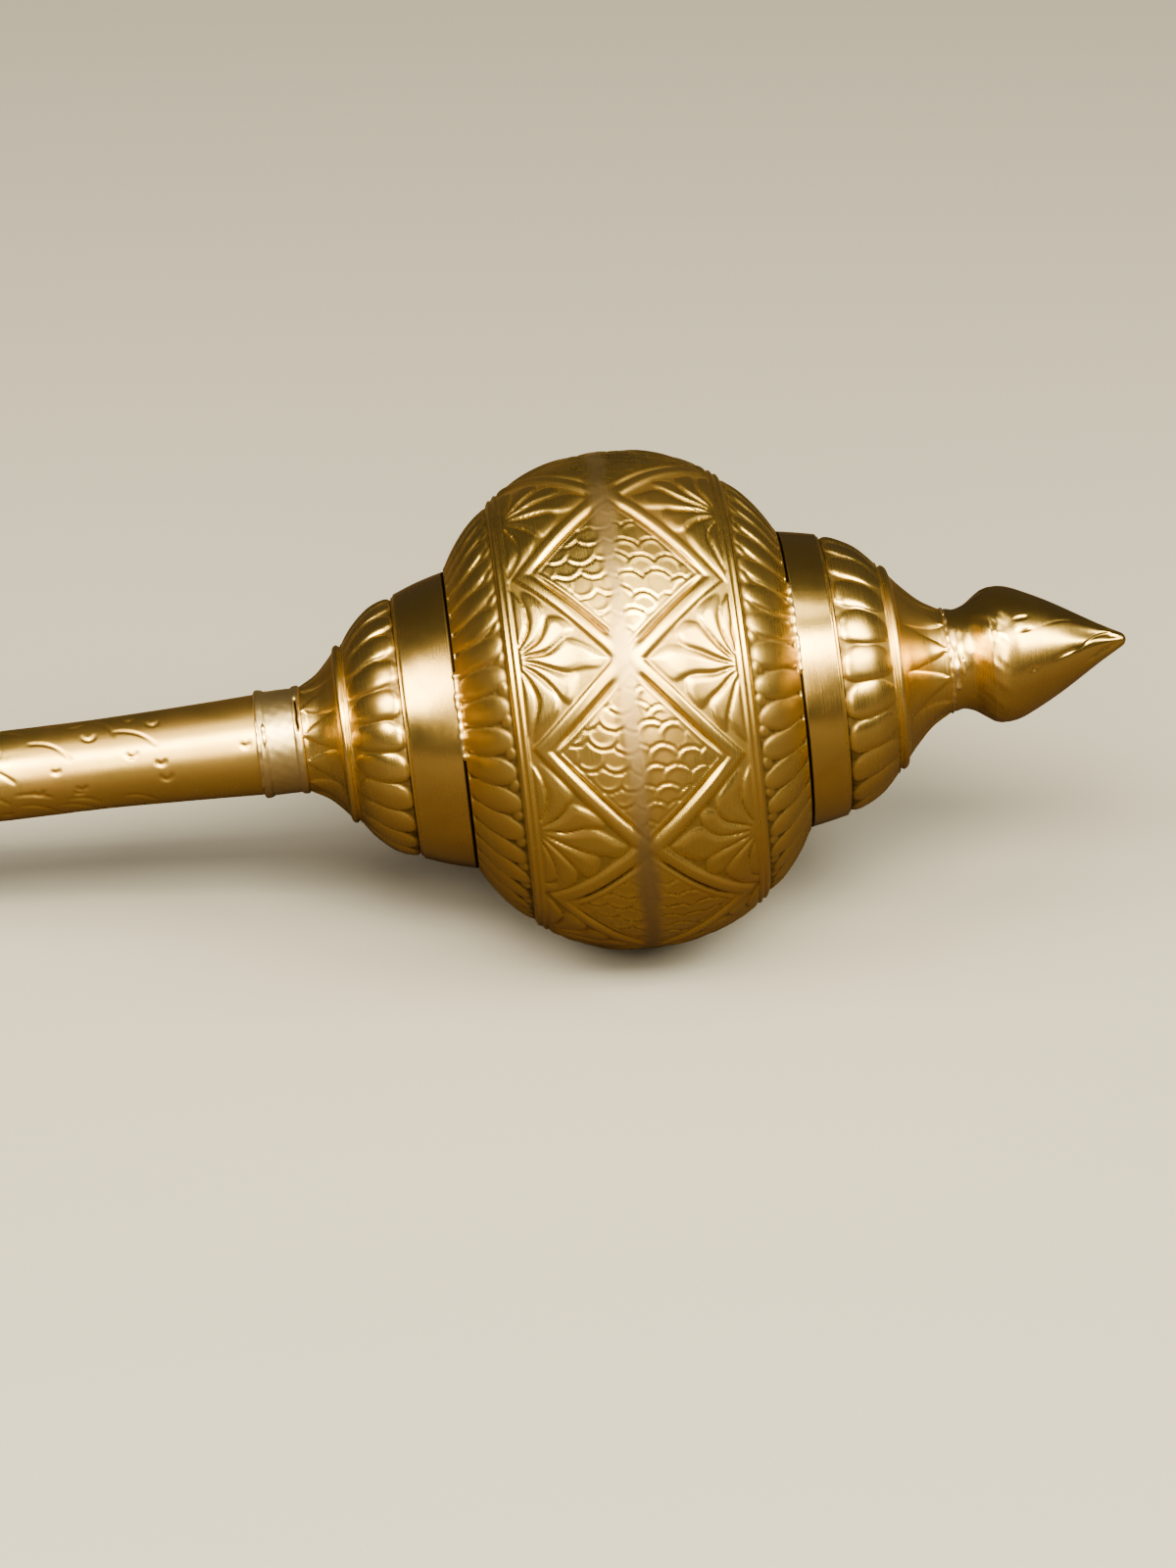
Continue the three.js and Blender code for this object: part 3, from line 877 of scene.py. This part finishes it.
def handle():
    shaft_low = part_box("shaft")[0]
    shaft_back = (shaft_low.x - globe_centre[0]) / MM / math.cos(TILT)
    shaft_back = shaft_back + SHAFT_RADIUS * math.tan(TILT)
    stations = np.arange(shaft_back - 0.25, shaft_front + 0.2, SHAFT_STEP)[:, None]
    share = np.clip(1 - (shaft_front - stations) / SHAFT_SWELL, 0, 1)
    curve = SHAFT_RADIUS + (SHAFT_HEAD_RADIUS - SHAFT_RADIUS) * share**SHAFT_SWELL_POWER
    angle = around(SHAFT_COLUMNS)[None, :] + 0 * stations
    cut = engraving(angle, stations, shaft_back + 6)
    uneven = 0.045 * (1 + hammering(angle, stations, 81, size=24, radius=14))
    # Painted shade in the engraving, and at the joint with the collar.
    painted_shade = 1.3 * cut + 1.2 * liner(stations - shaft_front, 0.6)
    print("handle from station", round(shaft_back, 1), "to", round(shaft_front, 1))
    return turned_skin("engraved_handle", stations, curve - cut - uneven, angle[0], painted_shade)


handle_piece = finish_piece(handle(), "handle_brass", "shaft")

# %% [markdown]
# ## The knob
#
# The handle ends in a plain turned ring, a short neck and a ball with a low button. They are plainer than the
# head. Three plain solids could be stacked for them, but one turned outline leaves no hidden faces between
# them. The ball's centre is found from the resting height: its lowest point is just pressed flat on the
# ground.

# %% The knob
KNOB_RADIUS = 22
KNOB_NECK_RADIUS = 12.5
KNOB_NECK = 9
KNOB_RING_RADIUS = 16.8
KNOB_RING_LENGTH = 5
BUTTON_RADIUS = 5
BUTTON_HEIGHT = 3
BUTTON_SET_BACK = 0.15
FLAT_DEPTH = 0.9
KNOB_COLUMNS = 160


def knob():
    knob_height = (KNOB_RADIUS - FLAT_DEPTH) * MM
    centre = -(globe_centre[2] - knob_height) / math.sin(TILT) / MM
    at_button = math.asin(BUTTON_RADIUS / KNOB_RADIUS)
    at_neck = math.pi - math.asin(KNOB_NECK_RADIUS / KNOB_RADIUS)
    turns = np.linspace(at_button, at_neck, 90)
    ball = np.stack([centre - KNOB_RADIUS * np.cos(turns), KNOB_RADIUS * np.sin(turns)], -1)
    button_back = centre - KNOB_RADIUS - BUTTON_HEIGHT + BUTTON_SET_BACK
    button_top = [(button_back + 0.02, 0.6), (button_back + 0.4, 3.2), (button_back + 1.7, 4.9)]
    button = fair_curve(button_top + [tuple(ball[0])], 0.4)
    ring_back = ball[-1, 0] + KNOB_NECK
    ring_front = ring_back + KNOB_RING_LENGTH
    neck = fair_curve([tuple(ball[-1]), (ring_back, KNOB_NECK_RADIUS)], 0.6)
    swing = np.linspace(0, math.pi, 26)
    ring_rise = KNOB_RING_RADIUS - SHAFT_RADIUS
    ring = np.stack([
        (ring_back + ring_front) / 2 - KNOB_RING_LENGTH / 2 * np.cos(swing),
        SHAFT_RADIUS + ring_rise * np.sin(swing),
    ], -1)
    stations, curve, angle = turned(np.concatenate([button, ball[1:], neck[1:], ring]), KNOB_COLUMNS)
    uneven = 0.03 * (1 + hammering(angle, stations, 91, size=12, radius=20))
    # Painted shade at the knob's inner corners.
    painted_shade = 1.2 * liner(stations - ball[0, 0], 0.6) + 1.2 * liner(stations - ball[-1, 0], 0.7)
    for corner in (ring_back, ring_front):
        painted_shade = painted_shade + 1.2 * liner(stations - corner, 0.55)
    print("knob's centre at station", round(centre, 1))
    return turned_skin("end_knob", stations, curve - uneven, angle[0], painted_shade)


knob_piece = finish_piece(knob(), "handle_brass", "knob")

# %% [markdown]
# ## Solder at the joints
#
# Bright lumps of solder were left where the caps were fixed to the globe, where the finial meets its cap, and
# at the collar's back edge. Each run is a thin lumpy worm along part of a joint. A curve with a bevel would
# be even all along, so the worm's thickness is worked out ring by ring, from the same slow waves.

# %% Solder at the joints
SOLDER_SIDES = 9
SOLDER_STEP = 0.35


def lumpy(way, seed):
    """Uneven waves along a run of solder, between -1 and 1. way is a distance along it."""
    return hammering(way, 0 * way, seed, size=3, radius=1)


def solder_run(name, station, radius, from_degrees, to_degrees, thickness, seed):
    first, last = math.radians(from_degrees), math.radians(to_degrees)
    count = max(12, int(radius * abs(last - first) / SOLDER_STEP))
    angles = np.linspace(first, last, count)
    lumps = lumpy(angles * radius / 3, seed) + 0.6 * lumpy(angles * radius, seed + 1)
    taper = np.minimum(1, np.minimum(np.arange(count), np.arange(count)[::-1]) / 4)
    thick = thickness * (0.55 + 0.5 * np.clip(lumps + 0.4, 0, 1.4)) * (0.15 + 0.85 * taper)
    wander = 0.25 * lumpy(angles * radius / 4, seed + 2)
    turns = around(SOLDER_SIDES)
    rings = []
    for middle, size, shift in zip(outward(angles), thick, wander):
        out = radius + size * np.cos(turns)
        across = station + shift + size * np.sin(turns)
        rings.append(globe_centre + MM * (out[:, None] * middle + across[:, None] * along))
    faces = []
    for ring in range(count - 1):
        for side in range(SOLDER_SIDES):
            here, after = ring * SOLDER_SIDES + side, ring * SOLDER_SIDES + (side + 1) % SOLDER_SIDES
            faces.append((here, after, after + SOLDER_SIDES, here + SOLDER_SIDES))
    faces.append(tuple(reversed(range(SOLDER_SIDES))))
    faces.append(tuple(range((count - 1) * SOLDER_SIDES, count * SOLDER_SIDES)))
    print(name, "runs for", round(radius * abs(last - first), 1), "mm")
    return finish_piece(new_piece(name, np.concatenate(rings), faces), "pale_brass")


solder = [
    # name, station, radius, degrees round from and to, thickness, and the number of its draw
    solder_run("front_seam_solder", GLOBE_RIM + 0.3, 45.2, 22, 60, 1.0, 101),
    solder_run("rear_seam_solder", -GLOBE_RIM - 0.3, 45.2, 43, 77, 1.15, 102),
    solder_run("finial_solder", FINIAL_JOINT, 15.5, 0, 360, 0.6, 103),
    solder_run("finial_solder_lumps", 98.8, 15.1, 20, 100, 1.3, 104),
    solder_run("finial_solder_drop", 101.0, 15.0, 58, 84, 0.8, 106),
    solder_run("collar_back_solder", COLLAR_BACK + 0.3, 16.0, 30, 118, 0.8, 105),
    solder_run("collar_solder_drop", COLLAR_BACK + 2.2, 16.1, 38, 66, 0.9, 107),
]

# %% [markdown]
# ## Small tools for finishes
#
# A finish in Blender is a tree of nodes. Each node works out a number or a colour and feeds it to the next.
# The nodes could be laid out by hand in the editor. A few small tools make them here, so that the recipe
# after them reads like a list of steps.

# %% Small tools for finishes
def feed(tree, socket, value):
    """Sets a socket to a value, or links it where the value is another socket."""
    if isinstance(value, bpy.types.NodeSocket):
        tree.links.new(value, socket)
    else:
        socket.default_value = value


def add_node(tree, kind, **inputs):
    """A node with some of its inputs fed."""
    node = tree.nodes.new(kind)
    for name, value in inputs.items():
        feed(tree, node.inputs[name.replace("_", " ")], value)
    return node


def mixed(tree, factor, first, second):
    """A colour between two colours."""
    node = tree.nodes.new("ShaderNodeMix")
    node.data_type = "RGBA"
    for number, value in ((0, factor), (6, first), (7, second)):
        feed(tree, node.inputs[number], value)
    return node.outputs[2]


def ranged(tree, value, from_low, from_high, to_low, to_high):
    """Turns one range of numbers into another."""
    ends = {"From_Min": from_low, "From_Max": from_high, "To_Min": to_low, "To_Max": to_high}
    return add_node(tree, "ShaderNodeMapRange", Value=value, **ends).outputs["Result"]


def combined(tree, kind, first, second):
    """The sum or the product of two numbers."""
    node = tree.nodes.new("ShaderNodeMath")
    node.operation = kind
    feed(tree, node.inputs[0], first)
    feed(tree, node.inputs[1], second)
    return node.outputs[0]


def kept(tree, name):
    """One of the numbers that the skin's points remember."""
    node = tree.nodes.new("ShaderNodeAttribute")
    node.attribute_name = name
    return node.outputs["Fac"]


# %% [markdown]
# ## Brass
#
# Brass is a metal, so its colour is the colour of its reflections. One recipe serves every piece, with its
# amounts set for each. Painted shade darkens whatever is cut deep and the inner corners, and the gaps at the
# rims and the crack are painted black as shade. Slow clouds of tarnish make the gilding redder and duller in
# places. Turning lines are fine rings round the axis, which come from noise along the stored station, and
# they show most on the mirror-like drums. The filed strip is duller and browner, because the gilding is gone
# there.
# A little grain keeps the gloss from being perfect. Shade and wear could be painted by hand, but the points'
# stored numbers follow the relief by themselves.

# %% Brass
FILED_COLOUR = (0.50, 0.36, 0.20, 1)
FILED_SHARE = 0.9
# Near black painted shade for the deepest places: the gaps at the rims, the crack and the nicks.
PAINTED_GAP_SHADE = (0.012, 0.008, 0.005, 1)
GRAIN_DEPTH = 0.0002


def brass(name, bright, tarnished, painted_shade, roughness, lines, grain):
    material = bpy.data.materials.new(name)
    material.use_nodes = True
    tree = material.node_tree
    shader = tree.nodes["Principled BSDF"]
    place = tree.nodes.new("ShaderNodeTexCoord").outputs["Object"]

    clouds = add_node(tree, "ShaderNodeTexNoise", Vector=place, Scale=34.0, Detail=5.0, Roughness=0.6)
    specks = add_node(tree, "ShaderNodeTexNoise", Vector=place, Scale=420.0, Detail=3.0, Roughness=0.6)
    cloudy = ranged(tree, clouds.outputs["Fac"], 0.42, 0.68, 0.0, 1.0)
    colour = mixed(tree, cloudy, bright, tarnished)
    dull = kept(tree, "dull")
    filed = ranged(tree, dull, 0.0, 1.0, 0.0, FILED_SHARE)
    colour = mixed(tree, filed, colour, FILED_COLOUR)
    # Painted shade: darker where the stored cut is deep, and near black in the deepest gaps.
    speckled = ranged(tree, specks.outputs["Fac"], 0.3, 0.7, -0.1, 0.1)
    uneven_cut = combined(tree, "ADD", kept(tree, "cut"), speckled)
    painted_shade_mask = ranged(tree, uneven_cut, 0.75, 1.5, 0.0, 1.0)
    colour = mixed(tree, painted_shade_mask, colour, painted_shade)
    colour = mixed(tree, ranged(tree, kept(tree, "cut"), 1.7, 2.3, 0.0, 1.0), colour, PAINTED_GAP_SHADE)
    feed(tree, shader.inputs["Base Color"], colour)

    rings = tree.nodes.new("ShaderNodeTexNoise")
    rings.noise_dimensions = "1D"
    for amount, value in (("W", kept(tree, "station")), ("Scale", 2.6), ("Detail", 6.0), ("Roughness", 0.75)):
        feed(tree, rings.inputs[amount], value)

    rough = ranged(tree, clouds.outputs["Fac"], 0.35, 0.7, roughness - 0.05, roughness + 0.07)
    for more in (
        ranged(tree, rings.outputs["Fac"], 0.3, 0.7, -0.03, 0.04),
        ranged(tree, painted_shade_mask, 0.0, 1.0, 0.0, 0.3),
        ranged(tree, dull, -1.0, 1.0, -0.07, 0.17),
    ):
        rough = combined(tree, "ADD", rough, more)
    feed(tree, shader.inputs["Roughness"], rough)

    normal = None
    for height, strength in ((rings.outputs["Fac"], lines), (specks.outputs["Fac"], grain)):
        bump = add_node(tree, "ShaderNodeBump", Height=height, Strength=strength, Distance=GRAIN_DEPTH)
        if normal:
            feed(tree, bump.inputs["Normal"], normal)
        normal = bump.outputs["Normal"]
    feed(tree, shader.inputs["Normal"], normal)
    shader.inputs["Metallic"].default_value = 1.0
    print("made the finish", name)
    return material


# %% [markdown]
# ## Which finish goes where
#
# The caps and the finial are the brightest. The globe's embossing is grainier and a little duller. The handle
# is satin from being held. The collar and the solder are paler and rougher, because solder has no gilding to
# warm it. One finish for all would lose that, so the recipe is followed four times with its own amounts.

# %% Which finish goes where
FINISHES = [
    # the pieces and the finish's name
    # its bright, tarnished and painted shade colours, its roughness, and the strength of its lines and grain
    (
        (front_cap, rear_cap, finial_piece), "gilt_brass",
        (0.92, 0.66, 0.26, 1), (0.76, 0.50, 0.20, 1), (0.07, 0.042, 0.02, 1), 0.23, 0.05, 0.06,
    ),
    (
        (front_bowl, rear_bowl), "embossed_brass",
        (0.92, 0.66, 0.25, 1), (0.76, 0.50, 0.20, 1), (0.07, 0.042, 0.02, 1), 0.25, 0.04, 0.14,
    ),
    (
        (handle_piece, knob_piece), "handle_brass",
        (0.90, 0.64, 0.25, 1), (0.74, 0.48, 0.20, 1), (0.12, 0.07, 0.03, 1), 0.26, 0.08, 0.14,
    ),
    (
        (collar_piece, *solder), "pale_brass",
        (0.86, 0.70, 0.42, 1), (0.72, 0.53, 0.28, 1), (0.18, 0.11, 0.05, 1), 0.27, 0.1, 0.3,
    ),
]
for pieces, *recipe in FINISHES:
    finish = brass(*recipe)
    for piece in pieces:
        piece.data.materials.append(finish)

# %% [markdown]
# ## Floor and light
#
# Polished metal looks like what is around it. So it needs large soft lights to show as bright bands, and dim
# stretches between them to show its colour. A bright sky all round could light it, but would show no bands,
# so each light is placed alone. The main light is in front and high: the long highlight runs along the middle
# of the mace, and its top and underside stay deep. The floor is plain and pale. A pale floor would wash out
# the underside, so the floor is painted dark wherever the brass mirrors it: a painted reflection, as of a
# dark cloth. The warm room fills the shadows a little, and the view's higher contrast keeps the painted shade
# in the grooves dark.

# %% Floor and light
FLOOR_SIZE = 9.0
PALE_FLOOR = (0.38, 0.37, 0.39, 1)
PAINTED_FLOOR_REFLECTION = (0.036, 0.024, 0.022, 1)
FLOOR_ROUGHNESS = 0.85
ROOM_COLOUR = (0.27, 0.24, 0.20, 1)
ROOM_STRENGTH = 0.25


def floor():
    half = FLOOR_SIZE / 2
    corners = np.array([(-half, -half, 0), (half, -half, 0), (half, half, 0), (-half, half, 0)])
    surface = new_piece("floor", corners, [(0, 1, 2, 3)])
    material = bpy.data.materials.new("pale_floor")
    material.use_nodes = True
    tree = material.node_tree
    shader = tree.nodes["Principled BSDF"]
    # Painted reflection: the floor shows dark in the brass, though it is pale to the camera.
    mirrored = tree.nodes.new("ShaderNodeLightPath").outputs["Is Glossy Ray"]
    feed(tree, shader.inputs["Base Color"], mixed(tree, mirrored, PALE_FLOOR, PAINTED_FLOOR_REFLECTION))
    shader.inputs["Roughness"].default_value = FLOOR_ROUGHNESS
    surface.data.materials.append(material)


def soft_light(name, azimuth, height, distance, size, watts, colour):
    """An area light aimed at the globe, from an azimuth and a height in degrees."""
    a, h = math.radians(azimuth), math.radians(height)
    away = Vector((math.sin(a) * math.cos(h), -math.cos(a) * math.cos(h), math.sin(h)))
    data = bpy.data.lights.new(name, "AREA")
    data.shape = "RECTANGLE"
    data.size, data.size_y = size
    data.energy = watts
    data.color = colour
    light = bpy.data.objects.new(name, data)
    bpy.context.scene.collection.objects.link(light)
    light.location = Vector(globe_centre) + away * distance
    light.rotation_mode = "QUATERNION"
    light.rotation_quaternion = away.to_track_quat("Z", "Y")
    print(name, "is", distance, "m from the globe and", height, "degrees high, at", watts, "W")


floor()
soft_light("main_light", 2, 53, 1.8, (1.4, 0.58), 62, (1.0, 0.92, 0.60))
soft_light("front_light", -6, 28, 1.9, (1.3, 0.7), 17, (1.0, 0.88, 0.56))
soft_light("top_light", 0, 84, 1.9, (1.3, 0.4), 6, (1.0, 0.92, 0.62))
soft_light("left_light", -62, 38, 1.9, (0.9, 0.9), 34, (1.0, 0.90, 0.62))
soft_light("right_light", 66, 40, 1.9, (0.9, 0.9), 36, (1.0, 0.92, 0.62))

world = bpy.data.worlds.new("studio")
bpy.context.scene.world = world
world.use_nodes = True
room = world.node_tree.nodes["Background"]
room.inputs["Color"].default_value = ROOM_COLOUR
room.inputs["Strength"].default_value = ROOM_STRENGTH
bpy.context.scene.view_settings.look = "AgX - Medium High Contrast"

# %% [markdown]
# ## Bringing the scene up to date
#
# Here the scene is only brought up to date, so that every piece stands where it was placed.

# %% Bringing the scene up to date
bpy.context.view_layer.update()
